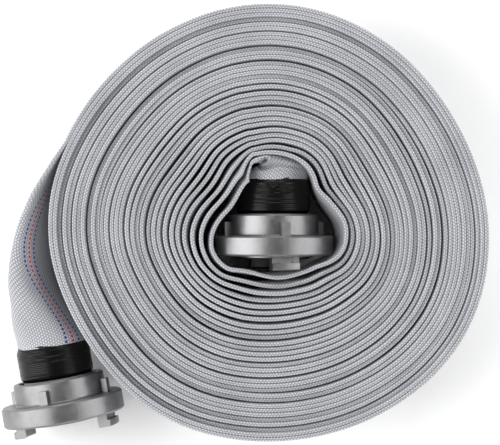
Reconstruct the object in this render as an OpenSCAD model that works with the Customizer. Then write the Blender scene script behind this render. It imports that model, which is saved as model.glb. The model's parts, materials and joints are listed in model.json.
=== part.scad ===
// A layflat fire hose, rolled up flat on its side round its own inner coupling.
// The roll's centre on the floor is the origin, and +Z is up.
// Each end carries a quarter-turn lug coupling, whose lug ring swivels on the hose tail.

/* [Hose] */
// Width of the hose when it is pressed flat
flat_w = 85; // [60:1:110]
// Thickness of the flat hose, both walls together
flat_t = 3.4; // [2:0.1:3.6]
// Thickness of the woven jacket round the lining
jacket_t = 0.95; // [0.5:0.05:1.5]
// Thickness of the rubber lining
lining_t = 0.55; // [0.4:0.05:1]

/* [Roll] */
// Number of turns from the inner end to where the free end leaves the roll
turns = 30.15; // [24:0.05:33]
// Distance from one turn to the next where the turns lie tight
turn_pitch = 3.72; // [3.7:0.01:3.9]
// Share of the opening's hollow shape that each turn loses
slack_fade = 0.14; // [0.08:0.01:0.3]
// Turns that make up the inner part of the roll
inner_turns = 4; // [3:1:8]
// Steps in one turn
turn_steps = 60; // [36:4:90]

/* [Hose tail] */
// Radius of the waterway
bore_r = 23; // [18:0.5:28]
// Wall of the barrel that the hose is bound on
tail_wall = 3; // [2.5:0.25:4]
// Step from the barrel out to the shank that the lug ring turns on
shank_step = 3.25; // [2.75:0.25:4]
// Step from the shank out to the front collar
collar_step = 2.25; // [1.5:0.25:3]
// Length of the front collar
collar_l = 9.5; // [8:0.5:11]
// How far the collar stands out in front of the flange
collar_out = 1.5; // [0.5:0.25:2.5]
// Length of the barrel behind the shank
barrel_l = 33; // [26:1:40]
// Depth of the grooves that hold the hose on the barrel
grip_d = 0.5; // [0.3:0.1:0.8]
// Width of a groove
grip_w = 2; // [1:0.5:3]
// Spacing of the barrel's grooves
grip_pitch = 6; // [4:0.5:8]

/* [Seal and snap ring] */
// Wall between the waterway and the seal's groove
seal_in = 1.5; // [1:0.25:2.5]
// Wall between the seal's groove and the collar's outside
seal_edge = 2; // [1:0.25:3]
// Depth of the seal's groove
seal_d = 4.5; // [3:0.5:6]
// How far the seal stands out of the collar
seal_out = 1; // [0.5:0.25:1.5]
// Section of the snap ring that keeps the lug ring on
snap_t = 2; // [1.5:0.1:2.5]
// Depth of the snap ring's groove
snap_d = 1.2; // [0.8:0.1:1.5]
// How deep the snap ring sits inside the hub
snap_in = 8.5; // [7:0.5:10]
// Gap between the snap ring's ends
snap_gap = 6; // [3:1:10]

/* [Lugs] */
// Room between the collar and the lugs' inner faces
lug_gap = 1.5; // [1.25:0.25:3]
// Radial thickness of a lug's stem
lug_t = 6; // [4:0.5:8]
// How far the lug's head stands out beyond the stem
lug_head = 3.8; // [2:0.2:5]
// Width of a lug
lug_w = 22; // [16:1:27]
// How far the lugs stand out in front of the flange
lug_out = 11; // [9:0.5:13]
// Thickness of the lug's head along the axis
lug_head_l = 5.5; // [4:0.5:6]
// Depth of the flutes cut across the lug's stem
flute_d = 0.8; // [0.3:0.1:1]

/* [Coupling ring] */
// Length of the flange along the axis
flange_l = 16; // [14:0.5:20]
// Wall outside the front channel that takes the mating lugs
flange_wall = 3; // [2:0.5:5]
// Depth of the front channel
channel_d = 13; // [11:0.5:13.5]
// Room in the channel beyond the mating lugs' heads
channel_room = 3.2; // [1:0.2:4]
// How far the lips that hold the mating heads stand clear of the stems
lip_room = 1.5; // [0.75:0.25:2.5]
// Thickness of the lips
lip_t = 4.5; // [3:0.5:6]
// Angle of each entry window between the lips
window_a = 44; // [40:1:60]
// Length of the hub behind the flange
hub_l = 17; // [14:0.5:22]
// Wall of the hub round the snap ring
hub_wall = 4.65; // [3:0.25:8]
// Height of a spanner rib on the hub
rib_h = 4.5; // [2:0.5:7]
// Width of a spanner rib
rib_w = 7; // [4:0.5:10]
// Length of a spanner rib
rib_l = 11; // [6:0.5:13.5]
// Number of spanner ribs
rib_count = 4; // [2:1:6]

/* [Fits] */
// Radial play of the lug ring on the shank
swivel_play = 0.05; // [0.02:0.01:0.1]
// Play of the lug ring along the shank
end_play = 0.2; // [0.1:0.05:0.4]
// Radial gap between the lug ring's nose and the collar
nose_gap = 0.3; // [0.2:0.05:0.5]

/* [Binding] */
// Diameter of the binding wire
wire_d = 1.5; // [1:0.1:2]
// Bare hose at each end of the binding
bare_l = 3.5; // [3:0.5:6]
// Thickness of the black sleeve
sleeve_t = 0.8; // [0.5:0.1:1.2]

/* [Places] */
// Place of the inner coupling's front, from the roll's centre
inner_at = [3, -25.5];
// Turn of the inner lug ring on its tail, from straight up
inner_lug_turn = 13.4; // [-15:0.1:15]
// Where the hose meets the outer coupling, along the roll's end line and out from it
outer_end = [155.3, -45.5];
// How far the hose bends between the roll and the outer coupling
outer_bend = 31.8; // [20:0.1:40]
// Turn of the outer lug ring on its tail, from straight up
outer_lug_turn = 77; // [0:1:180]

/* [Hidden] */

alloy = [0.72, 0.72, 0.73];
steel = [0.6, 0.61, 0.63];
rubber = [0.08, 0.08, 0.09];
weave = [0.64, 0.65, 0.67];

eps = 0.01;
fit_gap = 0.05;
end_gap = 0.3;
wall_t = jacket_t + lining_t;
edge_r = 0.8;
wall_front = 5;
wall_inset = 0.25;
snap_room = 1.8;
back_step = 2.2;
sleeve_taper = 1;
lug_root_bite = 0.2;

// Radii of the hose tail, from the waterway outwards
barrel_r = bore_r + tail_wall;
shank_r = barrel_r + shank_step;
collar_r = shank_r + collar_step;
seal_bore_r = bore_r + seal_in;
seal_r = collar_r - seal_edge;

// Radii of the lug ring, from the collar outwards
nose_r = collar_r + nose_gap;
lug_in_r = collar_r + lug_gap;
lug_stem_r = lug_in_r + lug_t;
lug_head_r = lug_stem_r + lug_head;
inner_wall_r = lug_in_r - wall_inset;
lip_r = lug_stem_r + lip_room;
channel_r = lug_head_r + channel_room;
flange_r = channel_r + flange_wall;
snap_ring_r = shank_r - snap_d + snap_t;
snap_room_r = snap_ring_r + snap_room;
hub_r = snap_room_r + hub_wall;
rib_r = hub_r + rib_h;
axis_z = flange_r;

// Stations along a coupling's axis, from the flange's front back along the hose
shoulder_z = collar_l - collar_out + end_play;
ring_back = flange_l + hub_l;
snap_z = ring_back - snap_in;
hose_start = snap_z + snap_t + back_step;
barrel_end = hose_start + barrel_l;
sleeve_z = ring_back + 0.5;
sleeve_end = barrel_end - 0.2;
wire_z = sleeve_z + bare_l;
wire_turns = floor((sleeve_end - bare_l - 3 - wire_z) / wire_d);

// Radii of what is nested round the barrel
lining_r = barrel_r + fit_gap + lining_t;
jacket_r = lining_r + fit_gap + jacket_t;
wire_r = jacket_r + fit_gap + wire_d;
sleeve_r = wire_r + fit_gap + sleeve_t;

// The places of the hose's ends suit couplings of this length, sleeve radius and hose width, and
// move on with larger ones
drawn_end = 61.7;
drawn_r = 30;
drawn_flat_w = 85;
drawn_opening = 25.9;
move_out = 1.5;
longer = barrel_end - drawn_end;
wider = sleeve_r - drawn_r;

// The opening grows with the coupling in it, and every turn moves out with it
core_size = flange_r + drawn_end + longer / 2;
// The first turn's middle, as [angle, distance inside the coupling's size]: it wraps the coupling,
// then the sleeve
start_a = 104;
first_turn = [
  [104, 59.2], [121, 60.2], [130, 63.7], [140, 71.2], [158, 73.7], [172, 69.2], [188, 60.7],
  [208, 54.3], [222, 57.2], [243, 66.1], [272, 70.3], [290, 68.3], [306, 62.3], [317, 60.2],
  [330, 50.3], [347, 48.3], [362, 52.2], [380, 61.7], [394, 63.2], [410, 57.3], [424, 54.7],
  [446, 54.2], [464, 54.4]
];
// The roll's edge, as [angle, distance inside the coupling's size with all the turns added]: the
// outermost turn presses it out of round
edge_points = [
  [0, 48.9], [30, 55.9], [60, 51.9], [90, 46.9], [120, 49.9], [150, 49.9], [180, 42.9],
  [210, 48.9], [240, 43.9], [270, 48.9], [300, 46.9], [330, 41.9], [360, 48.9]
];

edge_round = [for (turned = [-360, 0, 360], p = edge_points) [p[0] + turned, p[1]]];
end_a = start_a + 360 * turns;
inner_end_a = start_a + 360 * inner_turns;

// A mean of nearby values, which rounds the corners of a list of points
function rounded(points, a, spread) =
  (lookup(a - spread, points) + lookup(a - spread / 2, points) + lookup(a, points)
    + lookup(a + spread / 2, points) + lookup(a + spread, points)) / 5;
// The same direction as an angle from "from" up to a full turn more
function wrap(a, from) = a - 360 * floor((a - from) / 360);
// The strip's middle, if every turn lay tight on the next
function tight_r(a) =
  core_size + turn_pitch * (a - start_a) / 360 - rounded(edge_round, wrap(a, 0), 14) - flat_t / 2;
// How far the turns stand in from that at the first turn, and how this fades
function slack_at(a) =
  let (w = wrap(a, start_a))
  (tight_r(w) - core_size + rounded(first_turn, w, 6)) * exp(slack_fade * (w - start_a) / 360);
function turn_r(a) = tight_r(a) - slack_at(a) * exp(-slack_fade * (a - start_a) / 360);
function polar(r, a) = [r * cos(a), r * sin(a)];
// One side of the strip along the turn that starts at an angle
function turn_side(from, side) =
  [for (i = [0 : turn_steps]) let (a = from + 360 * i / turn_steps) polar(turn_r(a) + side * flat_t / 2, a)];

// Turns that lie tight on each other are one closed solid: the last turn's outer side round the
// first turn's inner side
module tight_turns(from, to) {
  color(weave)
    linear_extrude(flat_w)
      difference() {
        polygon(turn_side(to - 360, 1));
        polygon(turn_side(from, -1));
      }
}
module hose_inner_turns() { tight_turns(start_a, inner_end_a); }
module hose_outer_turns() { tight_turns(inner_end_a, end_a); }

// One ring of points round a flattened tube. A station is
// [x, y, z, heading, lean, half width, half thickness], and a round tube has the two halves equal.
sides = 16;
function tube_ring(s, inset) =
  let (
    out = [cos(s[3] - 90), sin(s[3] - 90), 0],
    across = cos(s[4]) * out - [0, 0, sin(s[4])],
    up = [0, 0, cos(s[4])] + sin(s[4]) * out,
    half_t = s[6] - inset,
    flat_half = s[5] - s[6]
  )
  [for (i = [0 : sides - 1]) let (a = (i + 0.5) * 360 / sides)
    [s[0], s[1], s[2]] + across * half_t * cos(a) + up * (half_t * sin(a) + flat_half * sign(sin(a)))];

// A closed skin through rings of points, with a flat cap at the first and the last
module skin(rings) {
  last = len(rings) - 1;
  polyhedron(
    points = [for (r = rings) each r],
    faces = concat(
      [[for (i = [sides - 1 : -1 : 0]) i]],
      [for (k = [0 : last - 1], i = [0 : sides - 1]) each
        let (j = (i + 1) % sides, a = k * sides, b = a + sides)
        [[a + i, b + j, b + i], [a + i, a + j, b + j]]],
      [[for (i = [0 : sides - 1]) last * sides + i]]
    )
  );
}

// The hose end from flat to round: the outer skin runs to the round end, then the inner wall runs
// back to where the two walls of the hose meet.
module hose_end(stations, hollow) {
  last = len(stations) - 1;
  skin(concat(
    [for (s = stations) tube_ring(s, 0)],
    [for (i = [last : -1 : last - hollow]) tube_ring(stations[i], wall_t + 2 * fit_gap)]
  ));
}

// The flat station just clear of an end of the roll
function roll_station(a, back) =
  let (heading = wrap(a, 0) + 90 + back, p = polar(turn_r(a), a) + polar(end_gap, heading))
  [p[0], p[1], flat_w / 2, heading, 0, flat_w / 2, flat_t / 2];
// A station between flat and round, from a row of
// [x, y, rise over mid width, heading, lean, narrowing, added half thickness]
function hose_station(row) =
  [row[0], row[1], flat_w / 2 + row[2], row[3], row[4], flat_w / 2 - row[5], flat_t / 2 + row[6]];
// The round station at a coupling
function round_station(at, turned) = [at[0], at[1], axis_z, turned, 0, jacket_r, jacket_r];

// The inner end's fold, between the roll's start and the inner coupling. Its rows' places are from
// the end of the inner coupling's barrel.
inner_front = inner_at - [0, longer / 2];
inner_end = inner_front + [0, barrel_end];
fold_rows = [
  [0, 15.6, 0, 352, 0, 0, 0],
  [8.5, 12.8, 0, 320, 0, 0, 0.2],
  [10, 8.3, 1.5, 275, 0, 2, 3.3],
  [4, 4, 4.5, 268, 0, 7, 13.3]
];
module hose_inner_fold() {
  color(weave)
    hose_end(concat(
      [roll_station(start_a, 180)],
      [for (row = fold_rows) hose_station(row + [inner_end[0], inner_end[1], 0, 0, 0, 0, 0])],
      [round_station(inner_end, 270)]
    ), 2);
}

// The free end leaves the roll on edge, leans outwards, and rounds out to the outer coupling. Its
// rows' places are along and out from the roll's end, and its headings are from the roll's.
end_heading = wrap(end_a, 0) + 90;
function end_place(along, out) =
  polar(turn_r(end_a), end_a) + polar(along, end_heading) + polar(out, end_heading - 90);
free_rows = [
  [24.5, 3, 0, -2, 3, 0, 0],
  [50, 2.5, 0, 2, 8, 0.1, 0.2],
  [75, -1, 0, 7, 13, 0.4, 0.7],
  [98.5, -8, 0.5, 13, 19, 1.3, 2.3],
  [116.5, -14.5, 2.5, 20, 21, 3.6, 6.3],
  [131, -22, 4.5, 25, 22, 7, 12.3],
  [142.5, -31.5, 6, 29, 20, 11.6, 20.3]
];
// The coupling stands further along for a longer barrel, and further out for a wider sleeve
outer_end_at = end_place(outer_end[0] + longer, outer_end[1] + move_out * wider);
module hose_free_end() {
  color(weave)
    hose_end(concat(
      [roll_station(end_a, 0)],
      [for (row = free_rows)
        let (
          opened = row[6] / drawn_opening,
          leaned = (flat_w - drawn_flat_w) / 2 * sin(row[4]),
          p = end_place(
            row[0] * (1 + longer / outer_end[0]), row[1] + move_out * wider * opened + leaned),
          added_t = opened * (jacket_r - flat_t / 2)
        )
        hose_station([p[0], p[1], row[2], end_heading + row[3], row[4], row[5], added_t])],
      [round_station(outer_end_at, end_heading + outer_bend)]
    ), 4);
}

// Stands a coupling's pieces on its axis: the front faces away from the hose
module on_axis(at, heading) {
  translate([at[0], at[1], axis_z]) rotate([0, 90, heading]) rotate([0, 0, 180]) children();
}
outer_heading = end_heading + outer_bend - 180;
outer_at = outer_end_at - polar(barrel_end, outer_heading);
module inner_place() { on_axis(inner_front, 90) children(); }
module outer_place() { on_axis(outer_at, outer_heading) children(); }

// A tube with rounded outer edges, from z = from to z = to
module sleeve_tube(r_in, r_out, from, to) {
  translate([0, 0, from])
    difference() {
      cylinder(r = r_out, h = to - from, $fn = 96);
      translate([0, 0, -eps]) cylinder(r = r_in, h = to - from + 2 * eps, $fn = 96);
    }
}

// The turned body of the lug ring: flange with its front channel, hub, and the swivel's bores
module ring_body() {
  rotate_extrude($fn = 128)
    polygon([
      [nose_r, wall_front], [inner_wall_r, wall_front], [inner_wall_r, channel_d],
      [channel_r, channel_d], [channel_r, edge_r], [channel_r + edge_r, 0],
      [flange_r - 1.5, 0], [flange_r, 1.5], [flange_r, flange_l - 1.5], [flange_r - 1.5, flange_l],
      [hub_r + 1, flange_l], [hub_r, flange_l + 1], [hub_r, ring_back - 1.2], [hub_r - 1.2, ring_back],
      [snap_room_r + 0.6, ring_back], [snap_room_r, ring_back - 0.6], [snap_room_r, snap_z - end_play],
      [shank_r + swivel_play, snap_z - end_play], [shank_r + swivel_play, shoulder_z],
      [nose_r, shoulder_z]
    ]);
}

// One of the two lips over the front channel, behind a lug
module lip(a) {
  rotate([0, 0, a - (90 - window_a / 2)])
    rotate_extrude(angle = 180 - window_a, $fn = 128)
      polygon([
        [lip_r + 0.6, 0], [channel_r + eps, 0], [channel_r + eps, lip_t],
        [lip_r, lip_t], [lip_r, 0.6]
      ]);
}

// A lug: a fluted stem that rises out of the channel, with a head that hooks outwards
module lug(a) {
  root_z = lug_out + channel_d + eps;
  intersection() {
    rotate([0, 0, a])
      difference() {
        translate([lug_in_r - 4, -lug_w / 2, -lug_out])
          cube([4 + lug_t + lug_head, lug_w, root_z]);
        translate([lug_stem_r, -lug_w, -lug_out + lug_head_l])
          cube([lug_head + 5, 2 * lug_w, lug_out + channel_d + 5]);
        for (side = [-0.5, 0.5])
          translate([lug_stem_r, side * lug_w * 0.5, -lug_out + lug_head_l])
            cylinder(r = flute_d, h = lug_out + channel_d, $fn = 24);
      }
    translate([0, 0, -lug_out])
      rotate_extrude($fn = 128)
        polygon([
          [lug_in_r, edge_r], [lug_in_r + edge_r, 0], [lug_head_r - edge_r, 0], [lug_head_r, edge_r],
          [lug_head_r, root_z], [inner_wall_r - lug_root_bite, root_z],
          [inner_wall_r - lug_root_bite, lug_out + wall_front], [lug_in_r, lug_out + wall_front]
        ]);
  }
}

module lug_ring(turned) {
  color(alloy)
    rotate([0, 0, turned]) {
      ring_body();
      for (a = [0, 180]) {
        lip(a);
        lug(a);
      }
      for (i = [0 : rib_count - 1])
        rotate([0, 0, i * 360 / rib_count])
          translate([hub_r - 2, -rib_w / 2, flange_l - eps])
            cube([rib_r - hub_r + 2, rib_w, rib_l]);
    }
}

// The hose tail: a collar with the seal's groove, the shank, and the grooved barrel
module hose_tail() {
  grips = floor((barrel_l - 6) / grip_pitch);
  color(alloy)
    difference() {
      union() {
        translate([0, 0, -collar_out]) cylinder(r = collar_r, h = collar_l, $fn = 128);
        cylinder(r = shank_r, h = hose_start - fit_gap, $fn = 128);
        cylinder(r = barrel_r, h = barrel_end, $fn = 96);
      }
      translate([0, 0, -collar_out - eps]) cylinder(r = bore_r, h = barrel_end + collar_out + 2 * eps, $fn = 96);
      sleeve_tube(seal_bore_r - fit_gap, seal_r + fit_gap, -collar_out - eps, -collar_out + seal_d + fit_gap);
      sleeve_tube(shank_r - snap_d, shank_r + 5, snap_z, snap_z + snap_t + 2 * fit_gap);
      for (i = [0 : grips - 1])
        let (groove_z = hose_start + 4 + i * grip_pitch)
          sleeve_tube(barrel_r - grip_d, barrel_r + 1, groove_z, groove_z + grip_w);
    }
}

// The rubber seal stands a little out of the collar and has a rounded front
module seal() {
  front = -collar_out - seal_out;
  color(rubber)
    rotate_extrude($fn = 96)
      polygon([
        [seal_bore_r, front + 1], [seal_bore_r + 0.8, front], [seal_r - 1, front],
        [seal_r, front + 1], [seal_r, -collar_out + seal_d], [seal_bore_r, -collar_out + seal_d]
      ]);
}

// The open spring ring that keeps the lug ring on the shank
module snap_ring() {
  ring_in = shank_r - snap_d + fit_gap;
  color(steel)
    rotate([0, 0, asin(snap_gap / 2 / ring_in)])
      rotate_extrude(angle = 360 - 2 * asin(snap_gap / 2 / ring_in), $fn = 96)
        translate([ring_in, snap_z + fit_gap]) square([snap_t, snap_t]);
}

// The two layers of the hose's wall, pushed on to the barrel
module lining_end() {
  color(rubber) sleeve_tube(barrel_r + fit_gap, lining_r, hose_start, barrel_end - fit_gap);
}
module jacket_end() {
  color(weave) sleeve_tube(lining_r + fit_gap, jacket_r, hose_start, barrel_end - fit_gap);
}

// Steel wire wound tightly round the jacket, turn against turn
module binding_wire() {
  color(steel)
    rotate_extrude($fn = 96) {
      translate([jacket_r + fit_gap, wire_z]) square([wire_d / 2, wire_d * wire_turns]);
      for (i = [0 : wire_turns - 1])
        translate([jacket_r + fit_gap + wire_d / 2, wire_z + wire_d * (i + 0.5)])
          circle(d = wire_d, $fn = 24);
    }
}

// The black sleeve over the wire, drawn in at both ends
module sleeve() {
  wire_end = wire_z + wire_d * wire_turns;
  neck_r = jacket_r + fit_gap;
  over_r = wire_r + fit_gap;
  color(rubber)
    rotate_extrude($fn = 96)
      polygon([
        [neck_r, sleeve_z], [neck_r + sleeve_t, sleeve_z],
        [sleeve_r, wire_z - sleeve_taper], [sleeve_r, wire_end + sleeve_taper], [neck_r + sleeve_t, sleeve_end],
        [neck_r, sleeve_end], [neck_r, wire_end + back_step], [over_r, wire_end + fit_gap],
        [over_r, wire_z - fit_gap], [neck_r, wire_z - 2 * sleeve_t]
      ]);
}

hose_inner_turns();
hose_outer_turns();
hose_inner_fold();
hose_free_end();
inner_place() lug_ring(inner_lug_turn);  // inner_lug_ring
inner_place() hose_tail();  // inner_hose_tail
inner_place() seal();  // inner_seal
inner_place() snap_ring();  // inner_snap_ring
inner_place() lining_end();  // inner_lining_end
inner_place() jacket_end();  // inner_jacket_end
inner_place() binding_wire();  // inner_binding_wire
inner_place() sleeve();  // inner_sleeve
outer_place() lug_ring(outer_lug_turn);  // outer_lug_ring
outer_place() hose_tail();  // outer_hose_tail
outer_place() seal();  // outer_seal
outer_place() snap_ring();  // outer_snap_ring
outer_place() lining_end();  // outer_lining_end
outer_place() jacket_end();  // outer_jacket_end
outer_place() binding_wire();  // outer_binding_wire
outer_place() sleeve();  // outer_sleeve
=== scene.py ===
# %% [markdown]
# # A rolled fire hose
# The real thing is about 20 m of flat woven hose, rolled up on edge round one of its own two
# couplings. This lesson dresses its fixed frame of solids: the hose is made again as one long
# spiral strip with woven threads, and the metal pieces get the look of cast aluminium and steel.

# %% Load the frame
import json
import math
import bpy
import numpy as np
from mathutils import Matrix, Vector


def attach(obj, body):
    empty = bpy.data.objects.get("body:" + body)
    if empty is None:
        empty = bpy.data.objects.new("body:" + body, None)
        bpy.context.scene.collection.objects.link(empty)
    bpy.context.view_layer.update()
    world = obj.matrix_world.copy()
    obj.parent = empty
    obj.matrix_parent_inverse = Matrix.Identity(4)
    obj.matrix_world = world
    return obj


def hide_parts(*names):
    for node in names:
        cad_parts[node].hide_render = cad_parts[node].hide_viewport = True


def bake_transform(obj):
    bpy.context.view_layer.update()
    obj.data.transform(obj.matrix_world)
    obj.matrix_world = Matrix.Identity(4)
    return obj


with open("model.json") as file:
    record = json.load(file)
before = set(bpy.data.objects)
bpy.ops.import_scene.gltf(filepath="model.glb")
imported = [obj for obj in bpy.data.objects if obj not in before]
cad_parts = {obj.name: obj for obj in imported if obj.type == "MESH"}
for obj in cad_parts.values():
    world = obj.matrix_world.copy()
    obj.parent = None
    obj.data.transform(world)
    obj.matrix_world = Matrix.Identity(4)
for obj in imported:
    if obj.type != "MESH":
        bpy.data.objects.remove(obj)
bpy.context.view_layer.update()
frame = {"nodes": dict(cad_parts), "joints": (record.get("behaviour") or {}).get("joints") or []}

MM = 0.001
UP = np.array([0, 0, 1])
nodes = frame["nodes"]
joints = {joint["name"]: joint for joint in frame["joints"]}

# %% [markdown]
# ## Small helpers
# Colours are written as sRGB hex values, as a paint maker gives them, and one function turns them
# to the linear values that the shader needs. One function adds a node with its settings, and
# fills its sockets with values or with what other nodes give.

# %% Helpers
def linear(hex_colour):
    parts = [int(hex_colour[i:i + 2], 16) / 255 for i in (1, 3, 5)]
    return [c / 12.92 if c <= 0.04045 else ((c + 0.055) / 1.055) ** 2.4 for c in parts] + [1.0]


def plug(tree, node, inputs):
    """Fills a node's sockets, in order or by name. Each takes a value, another node's output, or
    another node, whose first output is meant."""
    for socket, value in (inputs.items() if isinstance(inputs, dict) else enumerate(inputs)):
        if isinstance(value, bpy.types.Node):
            value = value.outputs[0]
        if isinstance(value, bpy.types.NodeSocket):
            tree.links.new(value, node.inputs[socket])
        else:
            node.inputs[socket].default_value = value


def add_node(tree, kind, inputs=(), **settings):
    """A new node with its settings, and its sockets filled."""
    node = tree.nodes.new(kind)
    for name, value in settings.items():
        setattr(node, name, value)
    plug(tree, node, inputs)
    return node


def new_finish(name):
    """A new material, with its tree and its main shader."""
    finish = bpy.data.materials.new(name)
    finish.use_nodes = True
    return finish, finish.node_tree, finish.node_tree.nodes["Principled BSDF"]


def smooth(value, low, high):
    """0 below low, 1 above high, and an even S-curve between them."""
    part = np.clip((np.asarray(value, float) - low) / (high - low), 0, 1)
    return part * part * (3 - 2 * part)


def new_mesh(name, points, faces, material, uv=None):
    """A smooth-shaded piece, from points in mm."""
    mesh = bpy.data.meshes.new(name)
    mesh.from_pydata([tuple(p) for p in np.asarray(points) * MM], [], faces)
    mesh.materials.append(material)
    mesh.polygons.foreach_set("use_smooth", [True] * len(mesh.polygons))
    if uv is not None:
        layer = mesh.uv_layers.new(name="UVMap")
        layer.data.foreach_set("uv", np.asarray(uv, np.float32).ravel())
    mesh.update()
    piece = bpy.data.objects.new(name, mesh)
    bpy.context.collection.objects.link(piece)
    return piece


# %% [markdown]
# ## Camera, floor and light
# The hose lies on a pale table and is seen from straight above. A long soft light on the left
# puts the bright band on the couplings, and weaker ones keep the shadows grey.

# %% Camera
EYE = (-0.016, 0.001, 1.298)
camera_data = bpy.data.cameras.new("camera")
camera_data.lens = 111
camera_data.sensor_width = 36
camera = bpy.data.objects.new("camera", camera_data)
camera.location = EYE
bpy.context.collection.objects.link(camera)
bpy.context.scene.camera = camera


# %% Floor and lights
TABLE_HALF = 3.0
table_mesh = bpy.data.meshes.new("table top")
table_mesh.from_pydata([(x * TABLE_HALF, y * TABLE_HALF, 0)
                        for x, y in ((-1, -1), (1, -1), (1, 1), (-1, 1))], [], [(0, 1, 2, 3)])
table = bpy.data.objects.new("table top", table_mesh)
bpy.context.collection.objects.link(table)
laminate, tree, shader = new_finish("white laminate table top")
plug(tree, shader, {"Base Color": linear("#FFFFFF"), "Roughness": 0.9})
table_mesh.materials.append(laminate)

# Each light's name, place, width, length and watts. They all point at the roll.
LIGHTS = [("left light", (-1.45, -0.05, 1.05), 1.1, 2.0, 30),
          ("right light", (1.55, 0.3, 0.95), 0.9, 1.8, 19),
          ("back light", (0.1, 1.8, 1.1), 1.5, 0.7, 17),
          ("front light", (0.0, -1.8, 1.1), 1.5, 0.7, 15)]
ROLL_MIDDLE = Vector((0, 0, 0.05))
for name, place, width, length, watts in LIGHTS:
    panel = bpy.data.lights.new(name, "AREA")
    panel.shape = "RECTANGLE"
    panel.size, panel.size_y, panel.energy = width, length, watts
    light = bpy.data.objects.new(name, panel)
    light.location = place
    light.rotation_euler = (ROLL_MIDDLE - Vector(place)).to_track_quat("-Z", "Y").to_euler()
    bpy.context.collection.objects.link(light)

# %% [markdown]
# Bare metal shows little but what it reflects. So the studio round the hose isn't evenly bright:
# it has a bright wall on the left, a dark ceiling, two dark screens on the right, and a pale
# band all round at the height of the table.

# %% Studio walls
# From the left wall over the ceiling to the right wall: how far, from 0 to 1, and how bright
WALLS = [(0.0, 0.5), (0.05, 0.5), (0.12, 0.95), (0.30, 0.9), (0.42, 0.42), (0.50, 0.18),
         (0.59, 0.18), (0.65, 0.5), (0.83, 0.45), (0.88, 0.14), (0.94, 0.12), (1.0, 0.4)]
STUDIO_LIGHT = 0.62
world = bpy.data.worlds.new("studio")
bpy.context.scene.world = world
world.use_nodes = True
studio = world.node_tree
way = add_node(studio, "ShaderNodeTexCoord").outputs["Generated"]
sides = add_node(studio, "ShaderNodeSeparateXYZ", [way])
across = add_node(studio, "ShaderNodeMath", [sides.outputs[0], 0.5, 0.5], operation="MULTIPLY_ADD")
walls = add_node(studio, "ShaderNodeValToRGB", [across])
while len(walls.color_ramp.elements) < len(WALLS):
    walls.color_ramp.elements.new(0.5)
for element, (place, level) in zip(walls.color_ramp.elements, WALLS):
    element.position = place
    element.color = (level, level, level, 1)
height = add_node(studio, "ShaderNodeMath", [sides.outputs[2]], operation="ABSOLUTE")
band = add_node(studio, "ShaderNodeMapRange", {"Value": height, "From Min": 0.12, "From Max": 0.4,
                                               "To Min": 0.75, "To Max": 0.0})
pale_band = add_node(studio, "ShaderNodeCombineXYZ", [band, band, band])
bright = add_node(studio, "ShaderNodeVectorMath", [walls, pale_band], operation="ADD")
plug(studio, studio.nodes["Background"], {"Color": bright, "Strength": STUDIO_LIGHT})
bpy.context.scene.view_settings.view_transform = "Standard"
print("camera", EYE, "lights", len(LIGHTS))

# %% [markdown]
# ## Woven polyester
# The jacket is a plain weave of thick polyester threads. The threads show as pale knots: each is
# about 2.5 mm long, a row every 2 mm, and every other row is moved on by half a knot. The hollows
# between the knots are painted darker as shade, and the knot tops painted lighter as highlight. The
# pattern reads the hose's own UV map, which is in metres along and around the hose, so the knots
# keep their size on every piece of hose.

# %% Woven jacket
KNOT_LENGTH = 2.5 * MM
KNOT_ROW = 2.0 * MM
# Painted shade for the hollows between the knots, and painted highlight for the knot tops
HOLLOW_PAINTED_SHADE = "#828489"
KNOT_TOP_PAINTED_LIGHT = "#D2D3D7"


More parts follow.
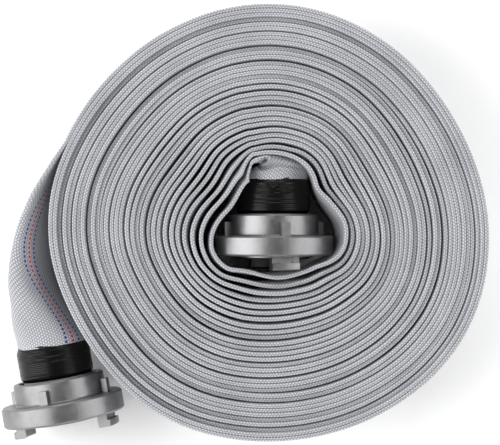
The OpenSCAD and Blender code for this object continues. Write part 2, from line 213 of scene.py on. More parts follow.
def woven_jacket(name, markers=False):
    """Pale grey woven polyester. With markers, three dashed lines run along the inner side."""
    cloth, tree, shader = new_finish(name)
    uv = add_node(tree, "ShaderNodeUVMap", uv_map="UVMap")
    split = add_node(tree, "ShaderNodeSeparateXYZ", [uv])
    along, around = split.outputs[0], split.outputs[1]
    row = add_node(tree, "ShaderNodeMath", [around, KNOT_ROW], operation="DIVIDE")
    whole_row = add_node(tree, "ShaderNodeMath", [row], operation="FLOOR")
    row_middle = add_node(tree, "ShaderNodeMath", [row, 0.5], operation="SUBTRACT")
    knots = add_node(tree, "ShaderNodeMath", [along, KNOT_LENGTH], operation="DIVIDE")
    moved_on = add_node(tree, "ShaderNodeMath", [whole_row, 0.5, knots], operation="MULTIPLY_ADD")
    waves = []
    for counted in (moved_on, row_middle):
        turn = add_node(tree, "ShaderNodeMath", [counted, math.tau], operation="MULTIPLY")
        wave = add_node(tree, "ShaderNodeMath", [turn], operation="COSINE")
        waves.append(add_node(tree, "ShaderNodeMath", [wave, 0.5, 0.5], operation="MULTIPLY_ADD"))
    knot = add_node(tree, "ShaderNodeMath", waves, operation="MULTIPLY")
    place = add_node(tree, "ShaderNodeTexCoord").outputs["Object"]
    fuzz = add_node(tree, "ShaderNodeTexNoise", {"Vector": place, "Scale": 900.0, "Detail": 2.0})
    soil = add_node(tree, "ShaderNodeTexNoise", {"Vector": place, "Scale": 28.0, "Detail": 3.0})
    height = add_node(tree, "ShaderNodeMath", [fuzz, 0.35, knot], operation="MULTIPLY_ADD")
    # The ramp paints shade into the hollows and a highlight onto the knot tops, over the bump's relief
    threads = add_node(tree, "ShaderNodeValToRGB", [height])
    hollow, top = threads.color_ramp.elements
    hollow.position, hollow.color = 0.12, linear(HOLLOW_PAINTED_SHADE)
    top.position, top.color = 0.95, linear(KNOT_TOP_PAINTED_LIGHT)
    shade = add_node(tree, "ShaderNodeMapRange", {"Value": soil, "From Min": 0.3, "From Max": 0.7,
                                                  "To Min": 0.9, "To Max": 1.06})
    colour = add_node(tree, "ShaderNodeVectorMath", [threads, shade], operation="MULTIPLY")
    if markers:
        colour = marker_lines(tree, along, around, colour)
    bump = add_node(tree, "ShaderNodeBump", {"Height": height, "Strength": 0.5, "Distance": 0.5 * MM})
    plug(tree, shader, {"Base Color": colour, "Normal": bump, "Roughness": 0.78,
                        "Sheen Weight": 0.15, "Sheen Roughness": 0.5})
    return cloth


# %% [markdown]
# The marker lines are coloured warp threads in the middle of the inner side: blue, red, blue. A
# warp thread shows only where it passes over the weft, so each line is a row of short dashes.

# %% Marker lines
HALF_ROUND = 87.0 * MM
MARKER_MIDDLE = HALF_ROUND / 2
MARKER_STEP = 6.3 * MM
MARKER_HALF = 0.95 * MM
DASH = 3.6 * MM
DASH_SHARE = 0.56
# Each line's place in steps from the middle, its thread, and the tint it leaves on the cloth
MARKERS = [(-1, "#1B1E66", "#A9ACCB"), (0, "#B3152B", "#DDB4BA"), (1, "#1B1E66", "#A9ACCB")]


def marker_lines(tree, along, around, colour):
    """The cloth's colour with the three dashed lines on it."""
    dashes = add_node(tree, "ShaderNodeMath", [along, DASH], operation="DIVIDE")
    part = add_node(tree, "ShaderNodeMath", [dashes], operation="FRACT")
    on_dash = add_node(tree, "ShaderNodeMath", [part, DASH_SHARE], operation="LESS_THAN")
    for steps, thread, tint in MARKERS:
        line_at = MARKER_MIDDLE + steps * MARKER_STEP
        past = add_node(tree, "ShaderNodeMath", [around, line_at], operation="SUBTRACT")
        away = add_node(tree, "ShaderNodeMath", [past], operation="ABSOLUTE")
        near = add_node(tree, "ShaderNodeMapRange", {"Value": away, "From Min": 1.0 * MM,
                                                     "From Max": 2.2 * MM, "To Min": 0.55, "To Max": 0.0})
        # A mix of colours takes its colours on sockets 6 and 7, and gives one on output 2
        tinted = add_node(tree, "ShaderNodeMix", {0: near, 6: colour, 7: linear(tint)}, data_type="RGBA")
        close = add_node(tree, "ShaderNodeMath", [away, MARKER_HALF], operation="LESS_THAN")
        on_line = add_node(tree, "ShaderNodeMath", [close, on_dash], operation="MULTIPLY")
        colour = add_node(tree, "ShaderNodeMix", {0: on_line, 6: tinted.outputs[2], 7: linear(thread)},
                          data_type="RGBA").outputs[2]
    return colour


weave = woven_jacket("woven polyester jacket")
marked_weave = woven_jacket("woven polyester jacket with marker threads", markers=True)

# %% [markdown]
# ## The rule of the roll
# A roll of flat hose is a spiral: each turn lies a hose's thickness further out. The first turn
# isn't round, because it is pressed round the coupling, and each turn after it loses some of that
# shape. The same rule made the frame's solids, so its few numbers are repeated here.

# %% The spiral
START = 104.0         # where the first turn starts, in degrees
TURNS = 30.15
PITCH = 3.72          # how much further out each turn lies, in mm
FLAT_W = 85.0
HALF_T = 1.7
FADE = 0.14           # how fast the turns lose the first one's shape
CORE = 110.7          # the edge's radius at the start, counted from the outermost turn
# The first turn's middle, and the outer edge's shape, as (angle, mm)
FIRST_TURN = [
    (104, 59.2), (121, 60.2), (130, 63.7), (140, 71.2), (158, 73.7), (172, 69.2), (188, 60.7),
    (208, 54.3), (222, 57.2), (243, 66.1), (272, 70.3), (290, 68.3), (306, 62.3), (317, 60.2),
    (330, 50.3), (347, 48.3), (362, 52.2), (380, 61.7), (394, 63.2), (410, 57.3), (424, 54.7),
    (446, 54.2), (464, 54.4)]
EDGE = [
    (0, 48.9), (30, 55.9), (60, 51.9), (90, 46.9), (120, 49.9), (150, 49.9), (180, 42.9),
    (210, 48.9), (240, 43.9), (270, 48.9), (300, 46.9), (330, 41.9), (360, 48.9)]
END = START + 360 * TURNS


def rounded(points, angle, spread):
    """A mean of nearby values on a list of points, which rounds its corners."""
    xs, ys = zip(*points)
    steps = (-spread, -spread / 2, 0, spread / 2, spread)
    return sum(np.interp(angle + step, xs, ys) for step in steps) / 5


def wrap(angle, start):
    return angle - 360 * np.floor((angle - start) / 360)


EDGE_ROUND = [(x + turned, y) for turned in (-360, 0, 360) for x, y in EDGE]


def tight_r(angle):
    grown = CORE + PITCH * (angle - START) / 360
    return grown - rounded(EDGE_ROUND, wrap(angle, 0), 14) - HALF_T


def turn_r(angle):
    """The radius of the strip's middle, in mm, at an angle in degrees from the roll's start."""
    first = wrap(angle, START)
    slack = tight_r(first) - CORE + rounded(FIRST_TURN, first, 6)
    return tight_r(angle) - slack * np.exp(-FADE * (angle - first) / 360)


PER_TURN = 106
angles = np.linspace(START, END, round(TURNS * PER_TURN) + 1)
radii = turn_r(angles)
centre_line = np.stack([radii * np.cos(np.radians(angles)), radii * np.sin(np.radians(angles))], 1)
steps = np.linalg.norm(np.diff(centre_line, axis=0), axis=1)
along_mm = np.concatenate([[0], np.cumsum(steps)])
print("length in the roll:", round(along_mm[-1] / 1000, 2), "m")

# %% [markdown]
# ## How the turns lean
# On edge, the flat hose never stands quite straight. Where a turn slipped while it was rolled,
# its top edge leans out and a dark gap opens behind it, and the next turns close up again. So the
# lean is worked out turn by turn: the gap between two top edges is a tight one plus a few seeded
# wide ones. The first turns lean more, since they follow the coupling and its sleeve.

# %% Lean, height and gaps
TIGHT = 0.38          # how far a tight turn's top edge falls back on its neighbour, in mm
LEAN_KEPT = 0.94      # the share of a turn's lean that the next one keeps
DEEPEST = 5.2         # how far a turn can sink below its neighbours, in mm
RIM_FADE = 0.32       # how fast the turns lose the first rim's shape
WALL_FADE = 1.3
# Where the first turns stand apart: the place in turns, how far in mm, and half the span in turns
FIRST_GAPS = [(1.2, 1.9, 0.08), (2.22, 1.7, 0.09), (3.21, 1.0, 0.07),
              (1.86, 1.6, 0.06), (2.9, 0.9, 0.07), (4.2, 0.8, 0.1)]
rng = np.random.default_rng(7)
turn_at = (angles - START) / 360
count = len(angles)
gap = np.zeros(count)


def swell(middle, half_span):
    """1 at a place given in turns, and 0 from half a span away."""
    return np.clip(1 - ((turn_at - middle) / half_span) ** 2, 0, 1)


turn_number = 1.3
while turn_number < TURNS - 0.8:
    gap_middle = turn_number + rng.uniform(-0.15, 0.25)
    half_span = rng.uniform(0.22, 0.62)
    depth = rng.uniform(0.9, 2.4)
    gap += depth * swell(gap_middle, half_span) ** 0.7
    turn_number += rng.uniform(1.2, 3.2)
gap *= TIGHT / gap.mean()
for gap_middle, depth, half_span in FIRST_GAPS:
    gap += depth * swell(gap_middle, half_span)
top_lean = np.zeros(count)
for i in range(PER_TURN, count):
    top_lean[i] = (top_lean[i - PER_TURN] + gap[i] - TIGHT) * LEAN_KEPT

# Some turns sink below their neighbours over part of the way round
top_drop = np.zeros(count)
turn_number = 0.5
while turn_number < TURNS - 1.2:
    sink_middle = turn_number + rng.uniform(-0.2, 0.2)
    half_span = rng.uniform(0.3, 1.1)
    depth = rng.uniform(1.2, 5.0)
    top_drop += depth * swell(sink_middle, half_span)
    turn_number += rng.uniform(0.9, 2.3)
top_drop = np.minimum(top_drop + 0.25 + 0.2 * np.sin(turn_at * 9.0), DEEPEST)

# Lower down, the first turn's wall stands in towards the coupling on the right
WALL_IN = [(270, 0.0), (300, 0.0), (322, 3.0), (340, 5.2), (362, 5.8), (384, 4.2), (404, 3.2),
           (425, 0.6), (440, 0.0)]
whole_turns = (angles - wrap(angles, START)) / 360
wall_in = np.interp(wrap(angles, 270), *zip(*WALL_IN)) * np.exp(-WALL_FADE * whole_turns)
low_lean = 0.35 * np.sin(turn_at * 2.3) * smooth(turn_at, 0.5, 2) - wall_in

# The first turn's rim, as [angle, radius] of the strip's middle at its top edge
RIM = [
    (104, 52.6), (112, 45.2), (120, 38.2), (129, 35.0), (138, 33.7), (150, 33.2), (159, 34.2),
    (168, 37.6), (178, 41.8),
    (188, 46.2), (202, 50.2), (214, 50.4), (228, 48.6), (240, 42.5), (251, 40.4), (264, 41.2),
    (272, 42.4), (284, 43.6), (300, 45.2), (317, 49.5), (326, 55.5), (336, 60.5), (345, 61.5),
    (360, 59.6), (375, 52.0), (396, 45.4), (410, 52.0), (420, 55.0), (436, 56.2), (450, 56.4),
    (464, 56.2)]
first_lean = rounded(RIM, angles[:PER_TURN], 4) - turn_r(angles[:PER_TURN])
rim_lean = np.zeros(count)
for turn in range(int(TURNS) + 1):
    kernel = np.hanning(3 + 2 * min(3 * turn, 14))
    soft_lean = np.convolve(np.tile(first_lean, 3), kernel / kernel.sum(), "same")
    weight = np.clip(1 - np.abs(turn_at - turn - 0.5), 0, 1) if turn else np.clip(1.5 - turn_at, 0, 1)
    rim_lean += weight * np.resize(soft_lean[PER_TURN:2 * PER_TURN], count)
rim_lean *= np.exp(-RIM_FADE * np.maximum(turn_at - 0.7, 0))
settle = smooth(angles, START - 1, START + 7)
top_lean = top_lean + rim_lean
ends = settle * (1 - smooth(angles, END - 60, END - 8))
top_lean *= np.where(angles > END - 400, ends, 1) * settle
top_drop *= ends
print("lean from", round(top_lean.min(), 1), "to", round(top_lean.max(), 1), "mm")

# %% [markdown]
# ## The strip by Geometry Nodes
# The guide is a plain chain of points on the spiral, and each point carries what the tree needs:
# which way is out, how far along the hose it is, and how the strip leans there. The profile is
# the flat hose cut across: a long stadium, a little fatter at its two folded edges. The tree
# sweeps the profile along the guide, then leans the strip by its height.

# %% Guide and profile
def chain(name, points, closed, attributes):
    """Points joined one to the next, with a value or a vector at each."""
    mesh = bpy.data.meshes.new(name)
    links = [(i, i + 1) for i in range(len(points) - 1)]
    if closed:
        links.append((len(points) - 1, 0))
    mesh.from_pydata([tuple(p) for p in points], links, [])
    for key, values in attributes.items():
        values = np.asarray(values, np.float32)
        kind = "FLOAT_VECTOR" if values.ndim == 2 else "FLOAT"
        layer = mesh.attributes.new(key, kind, "POINT")
        layer.data.foreach_set("vector" if values.ndim == 2 else "value", values.ravel())
    piece = bpy.data.objects.new(name, mesh)
    bpy.context.collection.objects.link(piece)
    return piece


tangent = np.gradient(centre_line, axis=0)
tangent /= np.linalg.norm(tangent, axis=1)[:, None]
outward = np.stack([tangent[:, 1], -tangent[:, 0], np.zeros(count)], 1)
guide = chain(
    "roll guide", np.column_stack([centre_line * MM, np.full(count, FLAT_W / 2 * MM)]), False,
    {"outward": outward, "along": along_mm * MM, "top_lean": top_lean * MM,
     "low_lean": low_lean * ends * MM, "top_drop": top_drop * MM})


def flat_profile(half_w, half_t, bulge):
    """The flat hose cut across, from the bottom fold round the outer side, as (out, up, around)."""
    rows = []
    cap = half_t + bulge          # the radius of each folded edge
    straight = half_w - cap
    arc = [90, 72, 54, 36, 18, 0]
    for turned in arc:
        a = math.radians(turned)
        rows.append((cap * math.cos(a), straight + cap * math.sin(a), -cap * (math.pi / 2 - a)))
    for up in (0.78, 0.42, 0.0, -0.7):
        out = half_t + bulge * abs(up) ** 3
        rows.append((out, up * straight, -cap * math.pi / 2 - straight * (1 - up)))
    for turned in reversed(arc):
        a = math.radians(turned)
        rows.append((cap * math.cos(a), -straight - cap * math.sin(a),
                     -cap * math.pi / 2 - 2 * straight - cap * a))
    mirrored = [(-x, y, -s) for x, y, s in reversed(rows[1:-1])]
    return rows + mirrored


PRESSED = 1.5         # half the pressed hose's thickness between its folds, in mm
FOLD_BULGE = 0.22
profile_rows = flat_profile(FLAT_W / 2, PRESSED, FOLD_BULGE)
profile = chain("fold profile", [(x * MM, -y * MM, 0) for x, y, s in profile_rows], True,
                {"around": [s * MM for x, y, s in profile_rows],
                 "height": [0.5 + y / FLAT_W for x, y, s in profile_rows]})
print("profile points:", len(profile_rows), "guide points:", count)


# %% The tree
def hose_sweep_tree():
    """Sweeps the profile along the guide, leans and sinks the strip, and gives it its UV map."""
    tree = bpy.data.node_groups.new("sweep the flat hose", "GeometryNodeTree")
    for name, kind in (("Guide", "Geometry"), ("Profile", "Object"), ("Lean", "Float"),
                       ("Leaning starts at", "Float"), ("Jacket", "Material")):
        tree.interface.new_socket(name, in_out="INPUT", socket_type="NodeSocket" + kind)
    tree.interface.new_socket("Hose", in_out="OUTPUT", socket_type="NodeSocketGeometry")
    given = add_node(tree, "NodeGroupInput").outputs
    carried = {}
    for key in ("height", "around", "along", "top_lean", "low_lean", "top_drop", "outward"):
        kind = "FLOAT_VECTOR" if key == "outward" else "FLOAT"
        reader = add_node(tree, "GeometryNodeInputNamedAttribute", {"Name": key}, data_type=kind)
        carried[key] = reader.outputs["Attribute"]

    curve = add_node(tree, "GeometryNodeMeshToCurve", {"Mesh": given["Guide"]})
    upright = add_node(tree, "GeometryNodeSetCurveNormal", {"Curve": curve}, mode="Z_UP")
    shape = add_node(tree, "GeometryNodeObjectInfo", {"Object": given["Profile"]})
    section = add_node(tree, "GeometryNodeMeshToCurve", {"Mesh": shape.outputs["Geometry"]})
    swept = add_node(tree, "GeometryNodeCurveToMesh",
                     {"Curve": upright, "Profile Curve": section, "Fill Caps": True})

    high = add_node(tree, "ShaderNodeMapRange", {
        "Value": carried["height"], "From Min": given["Leaning starts at"], "From Max": 1.0,
        "To Min": 0.0, "To Max": 1.0}, interpolation_type="LINEAR")
    curved = add_node(tree, "ShaderNodeMath", [high, 1.5], operation="POWER")
    low = add_node(tree, "ShaderNodeMapRange", {
        "Value": carried["height"], "From Min": 0.94, "From Max": 0.5,
        "To Min": 0.0, "To Max": 1.0}, interpolation_type="SMOOTHSTEP")
    leaned = add_node(tree, "ShaderNodeMath", [carried["top_lean"], curved], operation="MULTIPLY")
    top = add_node(tree, "ShaderNodeMath", [leaned, given["Lean"]], operation="MULTIPLY")
    bottom = add_node(tree, "ShaderNodeMath", [carried["low_lean"], low], operation="MULTIPLY")
    out = add_node(tree, "ShaderNodeMath", [top, bottom], operation="ADD")
    move = add_node(tree, "ShaderNodeVectorMath", {0: carried["outward"], "Scale": out},
                    operation="SCALE")
    sunk = add_node(tree, "ShaderNodeMath", [carried["top_drop"], curved], operation="MULTIPLY")
    down = add_node(tree, "ShaderNodeMath", [sunk, -1.0], operation="MULTIPLY")
    fall = add_node(tree, "ShaderNodeCombineXYZ", {"Z": down})
    offset = add_node(tree, "ShaderNodeVectorMath", [move, fall], operation="ADD")
    placed = add_node(tree, "GeometryNodeSetPosition", {"Geometry": swept, "Offset": offset})

    uv = add_node(tree, "ShaderNodeCombineXYZ", {"X": carried["along"], "Y": carried["around"]})
    stored = add_node(tree, "GeometryNodeStoreNamedAttribute",
                      {"Geometry": placed, "Value": uv, "Name": "UVMap"},
                      data_type="FLOAT2", domain="CORNER")
    soft = add_node(tree, "GeometryNodeSetShadeSmooth", [stored])
    real = add_node(tree, "GeometryNodeRealizeInstances", [soft])
    dressed = add_node(tree, "GeometryNodeSetMaterial",
                       {"Geometry": real, "Material": given["Jacket"]})
    add_node(tree, "NodeGroupOutput", [dressed])
    return tree


def made_by_tree(source, tree, inputs, name):
    """Runs the tree on the source, and keeps its result as a plain mesh."""
    modifier = source.modifiers.new("sweep", "NODES")
    modifier.node_group = tree
    for item in tree.interface.items_tree:
        if item.in_out == "INPUT" and item.name in inputs:
            modifier[item.identifier] = inputs[item.name]
    seen = source.evaluated_get(bpy.context.evaluated_depsgraph_get())
    mesh = bpy.data.meshes.new_from_object(seen)
    source.modifiers.remove(modifier)
    mesh.name = name
    piece = bpy.data.objects.new(name, mesh)
    bpy.context.collection.objects.link(piece)
    return piece


rolled_hose = made_by_tree(guide, hose_sweep_tree(), {
    "Profile": profile, "Lean": 1.0, "Leaning starts at": 0.42, "Jacket": weave}, "rolled_hose")
for helper in (guide, profile):
    bpy.data.objects.remove(helper)
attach(rolled_hose, "hose")
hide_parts("hose_inner_turns", "hose_outer_turns")
print("rolled hose:", len(rolled_hose.data.polygons), "faces")

# %% [markdown]
# ## The free end
# The last half metre leaves the roll on edge, leans out, and opens from flat to round where it is
# pushed on to the outer coupling. The way round the hose stays the same all along it, since cloth
# doesn't stretch. Each station says where the hose's middle is, which way it runs, how far it
# leans and how thick it is. A smooth curve through the stations gives the rings.


# %% Rings from flat to round
AROUND = 96
FOLD_SHARE = 0.571    # pi / 2 - 1, the width that a fold takes up for its radius


def catmull(rows, count):
    """Rows at even steps on a smooth curve through the given rows."""
    rows = np.asarray(rows, float)
    padded = np.vstack([2 * rows[0] - rows[1], rows, 2 * rows[-1] - rows[-2]])
    result = []
    for x in np.linspace(0, len(rows) - 1, count):
        i = min(int(x), len(rows) - 2)
        u = x - i
        a, b, c, d = padded[i:i + 4]
        result.append(0.5 * (2 * b + (c - a) * u + (2 * a - 5 * b + 4 * c - d) * u ** 2
                             + (3 * b - a - 3 * c + d) * u ** 3))
    return np.array(result)


def half_width(half_t):
    """The flat half width left when the hose is this thick, since its way round stays the same."""
    return FLAT_W / 2 + FOLD_SHARE * (HALF_T - half_t)


def hose_ring(x, y, z, heading, lean, half_t, bow=0.0, around=AROUND):
    """Points in mm round one ring, from the top fold over the inner side to the top again. bow is
    how far the hose's middle is pushed outwards past its folds."""
    half_w = max(half_width(half_t), half_t)
    flat = half_w - half_t
    total = 4 * flat + math.tau * half_t
    quarter = half_t * math.pi / 2
    side_way, tilt = math.radians(heading - 90), math.radians(lean)
    out = np.array([math.cos(side_way), math.sin(side_way), 0])
    up = UP * math.cos(tilt) + out * math.sin(tilt)
    across = out * math.cos(tilt) - UP * math.sin(tilt)
    points = []
    for i in range(around):
        s = total * i / around
        side = 1
        if s > total / 2:
            s, side = total - s, -1
        if s < quarter:
            a, v = s / half_t, flat
        elif s < quarter + 2 * flat:
            a, v = math.pi / 2, flat - (s - quarter)
        else:
            a, v = (s - 2 * flat) / half_t, -flat
        v = v + half_t * math.cos(a)
        u = bow * max(0.0, 1 - (v / half_w) ** 2) - side * half_t * math.sin(a)
        points.append(np.array([x, y, z]) + across * u + up * v)
    return np.array(points)


def loft(name, rings, along, material, turned=None):
    """A closed skin over rings, with a UV map in metres. turned says how far round the cloth is
    turned on each ring."""
    ring_count, around = len(rings), len(rings[0])
    turned = np.zeros(ring_count) if turned is None else turned
    faces, uv = [], []
    for k in range(ring_count - 1):
        for i in range(around):
            j = (i + 1) % around
            faces.append((k * around + i, (k + 1) * around + i, (k + 1) * around + j, k * around + j))
            for ring, step in ((k, i), (k + 1, i), (k + 1, i + 1), (k, i + 1)):
                part = step / around if i < around / 2 else step / around - 1
                uv.append((along[ring], 2 * HALF_ROUND * part + turned[ring]))
    for ring, order in ((0, range(around)), (ring_count - 1, range(around - 1, -1, -1))):
        faces.append([ring * around + i for i in order])
        uv.extend([(along[ring], 0.0)] * around)
    return new_mesh(name, np.concatenate(rings), faces, material, uv)


def way_along(stations):
    """How far along the hose each station is, in mm."""
    middle = np.array([s[:3] for s in stations])
    return np.concatenate([[0], np.cumsum(np.linalg.norm(np.diff(middle, axis=0), axis=1))])


# %% Free end
AXIS_Z = 49.0         # the height of both couplings' axes, in mm
RINGS = 150
end_turn = math.radians(END)
end_point = radii[-1] * np.array([math.cos(end_turn), math.sin(end_turn)])
end_heading = wrap(END, 0) + 90
inner_front = np.array(joints["inner_ring_swivel"]["pos_m"][:2]) / MM
outer_front = np.array(joints["outer_ring_swivel"]["pos_m"][:2]) / MM
outer_back = -np.array(joints["outer_ring_swivel"]["axis"][:2])
outer_heading = math.degrees(math.atan2(outer_back[1], outer_back[0]))


def on_outer(distance):
    return outer_front + distance * outer_back


# x, y, z, heading, lean out, half thickness and bow
free_stations = [
    (end_point[0], end_point[1], 42.5, end_heading, 0, 1.7, 0),
    (-172.4, 43.2, 42.5, 246, 3, 1.8, -1.0),
    (-182.0, 19.4, 42.5, 250, 9, 2.1, -3.0),
    (-188.5, -5.1, 42.5, 255, 14, 2.8, -5.5),
    (-191.0, -29.5, 43.0, 261, 18, 4.6, -6.5),
    (-189.8, -48.6, 44.5, 268, 21, 8, -5),
    (-185.3, -65.0, 46.5, 273, 23, 13.5, -2.5),
    (-181.2, -80.0, 48.2, 277, 26, 21.5, 0),
    (*on_outer(62.5), AXIS_Z, outer_heading + 180, 20, 27.8, 0),
    (*on_outer(48.0), AXIS_Z, outer_heading + 180, 20, 27.8, 0),
]
stations = catmull(free_stations, RINGS)
rings = [hose_ring(*s) for s in stations]
way = way_along(stations)

# %% [markdown]
# The cloth is turned a little on the hose as it opens, which brings the marker lines up into
# view. This table says where the middle line runs, and each ring's cloth is turned to suit.

# %% Marker path
MARKER_PATH = [(-98, -158.5), (-93, -160.5), (-82, -163.6), (-69, -173.9), (-55, -182.5),
               (-42, -190.8), (-26, -195.6), (-10, -194.5), (12, -187.4), (30, -179.8), (66, -160.5)]


def seen_at(point):
    """Where a point shows when it is moved along its sight line to the couplings' height."""
    eye = np.array(EYE) / MM
    share = (eye[2] - AXIS_Z) / (eye[2] - point[2])
    return eye[:2] + (np.asarray(point)[:2] - eye[:2]) * share


MOST_TURNED = 35 * MM
turned = []
for ring in rings:
    half = ring[:AROUND // 2 + 1]
    seen = np.array([seen_at(p) for p in half])
    goal = np.interp(seen[:, 1], *zip(*MARKER_PATH))
    past = np.argmax(seen[:, 0] >= goal) if (seen[:, 0] >= goal).any() else AROUND // 4
    if past > 0:
        before = goal[past - 1] - seen[past - 1, 0]
        after = seen[past, 0] - goal[past]
        past = past - after / max(before + after, 1e-6)
    turned.append(MARKER_MIDDLE - 2 * HALF_ROUND * past / AROUND)
soft = np.convolve(np.pad(turned, 9, "edge"), np.ones(19) / 19, "valid")
turned = np.clip(soft, 0, MOST_TURNED) * smooth(np.arange(RINGS), 8, 40)
print("cloth turned by up to", round(turned.max() / MM, 1), "mm")
free_hose = loft("free_hose", rings, (along_mm[-1] + way) * MM, marked_weave, turned)
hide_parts("hose_free_end")
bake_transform(free_hose)
print("free end:", round(way[-1]), "mm")

# %% [markdown]
# ## The inner fold
# Inside the roll, the hose leaves its coupling upwards on the page, folds over, and runs left
# into the first turn.

# %% Inner fold
FOLD_AROUND = 200
FOLD_RINGS = 110


def between(inner, outer, z, out_angle, lean=0):
    """A station whose section reaches from an inner point to an outer one."""
    middle = (np.array(inner) + np.array(outer)) / 2
    half_t = np.linalg.norm(np.array(outer) - np.array(inner)) / 2
    return (*middle, z, out_angle + 90, lean, max(half_t, HALF_T), 0)


fold_stations = [
    (inner_front[0], 20.0, AXIS_Z, 90, 0, 27.8, 0),
    (inner_front[0], 35.0, AXIS_Z, 90, 0, 27.8, 0),
    between((-21.5, 40.5), (30.8, 40.5), 48.6, 0),
    between((-15.5, 43.5), (29.0, 46.0), 47.5, 3),
    between((-12.0, 45.3), (23.0, 50.5), 46.0, 8),
    between((-9.5, 46.6), (13.0, 53.6), 44.0, 18),
    between((-8.5, 47.8), (3.0, 54.6), 42.8, 31),
    between((-9.4, 49.0), (-5.2, 53.4), 42.5, 55),
    (*centre_line[0], FLAT_W / 2, START + 90, 0, HALF_T, 0),
]
stations = catmull(fold_stations, FOLD_RINGS)
fold_rings = [hose_ring(*s, around=FOLD_AROUND) for s in stations]
fold_way = way_along(stations)

# %% [markdown]
# On the inside of the bend the cloth has too much length, so it buckles. A groove with a raised
# lip runs in an S from the bend's corner across the top of the hose.

# %% Buckle
GROOVE_POINTS = 60
GROOVE = catmull([(-3.5, 50.4), (-7.0, 48.6), (-9.0, 46.4), (-7.5, 44.6), (-2.0, 45.0),
                  (4.0, 46.6), (11.0, 46.8), (20.0, 45.4), (28.0, 43.6)], GROOVE_POINTS)
GROOVE_DEEP = np.interp(np.linspace(0, 1, GROOVE_POINTS), [0, 0.25, 0.5, 1], [9.0, 6.5, 3.8, 0.3])
GROOVE_WIDTH = 1.5
LIP_AWAY = 3.0
LIP_WIDTH = 1.4
LIP_SHARE = 0.30      # the lip's height for the groove's depth
STARTS_AT = 52        # only the hose's upper side buckles, from this height
FULL_AT = 64
HIGHEST = 84.8


def buckle(ring):
    """The ring with the groove and its lip pressed into the top of it."""
    for point in ring:
        if point[2] < STARTS_AT:
            continue
        away = np.linalg.norm(GROOVE - point[:2], axis=1)
        near = int(np.argmin(away))
        sink = math.exp(-(away[near] / GROOVE_WIDTH) ** 2)
        lip = LIP_SHARE * math.exp(-((away[near] - LIP_AWAY) / LIP_WIDTH) ** 2)
        depth = smooth(point[2], STARTS_AT, FULL_AT) * GROOVE_DEEP[near]
        point[2] = min(point[2] + depth * (lip - sink), HIGHEST)
    return ring


fold_rings = [buckle(ring) for ring in fold_rings]
inner_fold = loft("inner_fold", fold_rings, (fold_way - fold_way[-1]) * MM, weave)
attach(inner_fold, "hose")
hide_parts("hose_inner_fold")
print("inner fold:", round(fold_way[-1]), "mm")

# %% [markdown]
# ## Black sleeves
# A stretched black rubber sleeve covers the binding wire on each coupling. The wire's windings
# show through it as fine ridges, and the sleeve has puckered in creases at its ends.

# %% Sleeves
SLEEVE_START = 33.5
SLEEVE_END = 61.6
SLEEVE_R = 29.45
NECK_R = 27.75
WIRE_STEP = 1.5
SLEEVE_MOST_R = 30.0
SLEEVE_INSIDE_R = 27.62
WIRE_SHOWS = 0.10     # how high the wire's windings stand under the sleeve, in mm
SLEEVE_ROWS = 96
SLEEVE_AROUND = 260


def sleeve_radius(z, turn, creases):
    """The sleeve's radius in mm, at a distance along the axis and a turn in radians."""
    rise = smooth(z, SLEEVE_START, SLEEVE_START + 3.2) * (1 - smooth(z, SLEEVE_END - 5.0, SLEEVE_END))
    r = NECK_R + (SLEEVE_R - NECK_R) * rise
    r += WIRE_SHOWS * np.cos(math.tau * z / WIRE_STEP + 0.5 * np.sin(turn * 2)) * rise
    for middle_z, slope, middle_turn, spread, height, width in creases:
        turn_off = (turn - middle_turn + math.pi) % math.tau - math.pi
        line = z - middle_z - slope * turn_off
        r += height * np.exp(-(line / width) ** 2) * np.exp(-(turn_off / spread) ** 2)
    return r


def make_sleeve(name, front, heading, seed, crease_turn):
    """A sleeve on the axis that starts at front, in mm, and runs the way of heading, in degrees.
    It has fine creases all over, and steeper ones on one side of its end."""
    draw = np.random.default_rng(seed)
    creases = []
    for i in range(26):
        creases.append((draw.uniform(SLEEVE_START + 3, SLEEVE_END), draw.uniform(-1.2, 1.2),
                        draw.uniform(0, math.tau), draw.uniform(0.25, 0.9),
                        draw.uniform(-0.35, 0.4), draw.uniform(0.35, 0.8)))
    for i in range(16):
        creases.append((draw.uniform(SLEEVE_END - 13, SLEEVE_END - 0.5), draw.uniform(-7, 7),
                        crease_turn + draw.uniform(-0.6, 0.5), draw.uniform(0.15, 0.45),
                        draw.uniform(0.25, 0.75), draw.uniform(0.35, 0.7)))
    axis = np.array([math.cos(math.radians(heading)), math.sin(math.radians(heading)), 0])
    side = np.array([axis[1], -axis[0], 0])
    origin = np.array([*front, AXIS_Z])
    turns = np.linspace(0, math.tau, SLEEVE_AROUND, endpoint=False)
    rows = []
    for z in np.linspace(SLEEVE_START, SLEEVE_END, SLEEVE_ROWS):
        edge = 0.5 * np.sin(turns * 3 + seed) + 0.3 * np.sin(turns * 7 + 1) if z == SLEEVE_END else 0
        rows.append((z + edge, np.minimum(sleeve_radius(z, turns, creases), SLEEVE_MOST_R)))
    rows.append((SLEEVE_END - 0.4, SLEEVE_INSIDE_R))
    rows.append((SLEEVE_START, SLEEVE_INSIDE_R))
    points = []
    for z, r in rows:
        for turn, along, out in np.broadcast(turns, z, r):
            points.append(origin + axis * along + (side * math.cos(turn) + UP * math.sin(turn)) * out)
    faces = []
    for k in range(len(rows)):
        row, after = k * SLEEVE_AROUND, (k + 1) % len(rows) * SLEEVE_AROUND
        for i in range(SLEEVE_AROUND):
            j = (i + 1) % SLEEVE_AROUND
            faces.append((row + i, row + j, after + j, after + i))
    return new_mesh(name, points, faces, sleeve_rubber)


# %% [markdown]
# ## Cast aluminium
# The lug rings are sand-cast aluminium, so they are dull and softly mottled. On the real coupling
# the flange's rim is turned on a lathe, which leaves it smooth and bright, but here it takes the
# same cast finish. The seals, linings and sleeves are rubber.


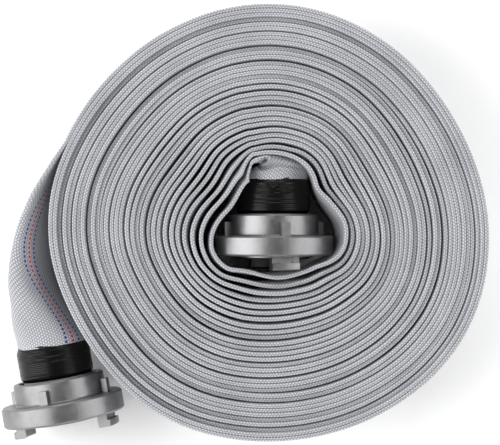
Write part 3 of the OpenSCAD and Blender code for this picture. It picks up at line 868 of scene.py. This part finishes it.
# %% Aluminium
def aluminium(name, hex_colour, rough, grain, mottle):
    """Bare metal. grain is how deep its pits look, and mottle how far its tone varies."""
    metal, tree, shader = new_finish(name)
    place = add_node(tree, "ShaderNodeTexCoord").outputs["Object"]
    blotch = add_node(tree, "ShaderNodeTexNoise", {"Vector": place, "Scale": 90.0, "Detail": 6.0})
    pits = add_node(tree, "ShaderNodeTexNoise", {"Vector": place, "Scale": 900.0, "Detail": 2.0})
    tone = add_node(tree, "ShaderNodeMapRange", {"Value": blotch, "From Min": 0.3, "From Max": 0.7,
                                                 "To Min": 1 - mottle, "To Max": 1 + mottle})
    base = add_node(tree, "ShaderNodeVectorMath", [linear(hex_colour)[:3], tone], operation="MULTIPLY")
    gloss = add_node(tree, "ShaderNodeMapRange", {"Value": blotch, "From Min": 0.3, "From Max": 0.7,
                                                  "To Min": rough - 0.05, "To Max": rough + 0.08})
    bump = add_node(tree, "ShaderNodeBump", {"Height": pits, "Strength": grain, "Distance": 0.3 * MM})
    plug(tree, shader, {"Base Color": base, "Roughness": gloss, "Normal": bump, "Metallic": 1.0})
    return metal


cast = aluminium("sand-cast aluminium", "#858586", 0.40, 0.35, 0.2)
steel = aluminium("drawn spring steel wire", "#B9B9BC", 0.3, 0.1, 0.05)


def rubber(name, hex_colour, rough, shine):
    """Black rubber. shine is how strongly it reflects."""
    gum, tree, shader = new_finish(name)
    place = add_node(tree, "ShaderNodeTexCoord").outputs["Object"]
    grain = add_node(tree, "ShaderNodeTexNoise", {"Vector": place, "Scale": 600.0, "Detail": 3.0})
    tone = add_node(tree, "ShaderNodeMapRange", {"Value": grain, "To Min": 0.75, "To Max": 1.25})
    base = add_node(tree, "ShaderNodeVectorMath", [linear(hex_colour)[:3], tone], operation="MULTIPLY")
    bump = add_node(tree, "ShaderNodeBump", {"Height": grain, "Strength": 0.15, "Distance": 0.2 * MM})
    plug(tree, shader, {"Base Color": base, "Normal": bump, "Roughness": rough,
                        "Specular IOR Level": shine})
    return gum


seal_rubber = rubber("moulded nitrile rubber", "#1C1C1E", 0.6, 0.4)
lining_rubber = rubber("extruded rubber lining", "#202022", 0.5, 0.4)
sleeve_rubber = rubber("stretched black rubber", "#060607", 0.3, 0.2)
inner_sleeve = make_sleeve("inner_binding_sleeve", inner_front, 90, 11, 1.75)
outer_sleeve = make_sleeve("outer_binding_sleeve", outer_front, outer_heading, 23, 2.2)
for sleeve, body, node in ((inner_sleeve, "hose", "inner_sleeve"),
                           (outer_sleeve, "free_end", "outer_sleeve")):
    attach(sleeve, body)
    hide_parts(node)


# %% [markdown]
# ## The couplings' smaller pieces
# These keep the frame's shapes, which are right, and only take their finish.

# %% Finishes on the frame's pieces
FINISH = {"hose_tail": cast, "seal": seal_rubber, "snap_ring": steel, "lining_end": lining_rubber,
          "jacket_end": weave, "binding_wire": steel, "lug_ring": cast}
for end in ("inner", "outer"):
    for piece, finish in FINISH.items():
        solid = nodes[f"{end}_{piece}"]
        solid.data.materials.clear()
        solid.data.materials.append(finish)
print("finishes on", 2 * len(FINISH), "pieces")
